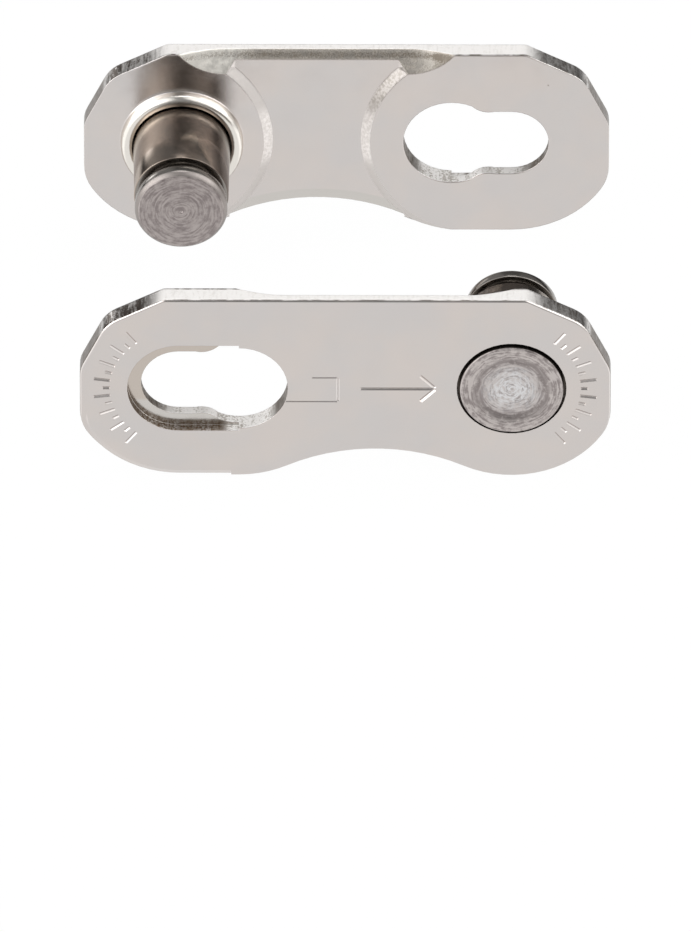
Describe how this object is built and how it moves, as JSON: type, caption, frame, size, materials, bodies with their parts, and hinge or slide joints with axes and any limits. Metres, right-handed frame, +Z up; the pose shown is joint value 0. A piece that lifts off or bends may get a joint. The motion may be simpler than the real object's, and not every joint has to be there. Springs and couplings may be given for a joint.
{
  "type": "chain connecting link",
  "caption": "Two-piece connecting link for a narrow roller chain: coined side plates, each with a riveted grooved pin and a keyhole slot that locks onto the other half's pin.",
  "frame": {"origin": "on the ground, midway between the two halves along both the chain and the pins", "axes": "+X along the chain, from the rear half's pin to the front half's pin; +Y along the pins, from the front half to the rear half; +Z up, the straight edge of both plates on top"},
  "size_m": [0.0202, 0.0174, 0.0082],
  "materials": {
    "nickel_plate": "satin nickel plating on steel",
    "pin_steel": "turned and hardened steel, bare"
  },
  "bodies": {
    "rear_half": {"rear_plate": "nickel_plate", "rear_pin": "pin_steel"},
    "front_half": {"front_plate": "nickel_plate", "front_pin": "pin_steel"}
  },
  "joints": [
    {"name": "close", "type": "slide", "parent": "rear_half", "child": "front_half", "axis": [-0.1955, 0.9807, 0], "range_m": [0, 0.01213]}
  ]
}
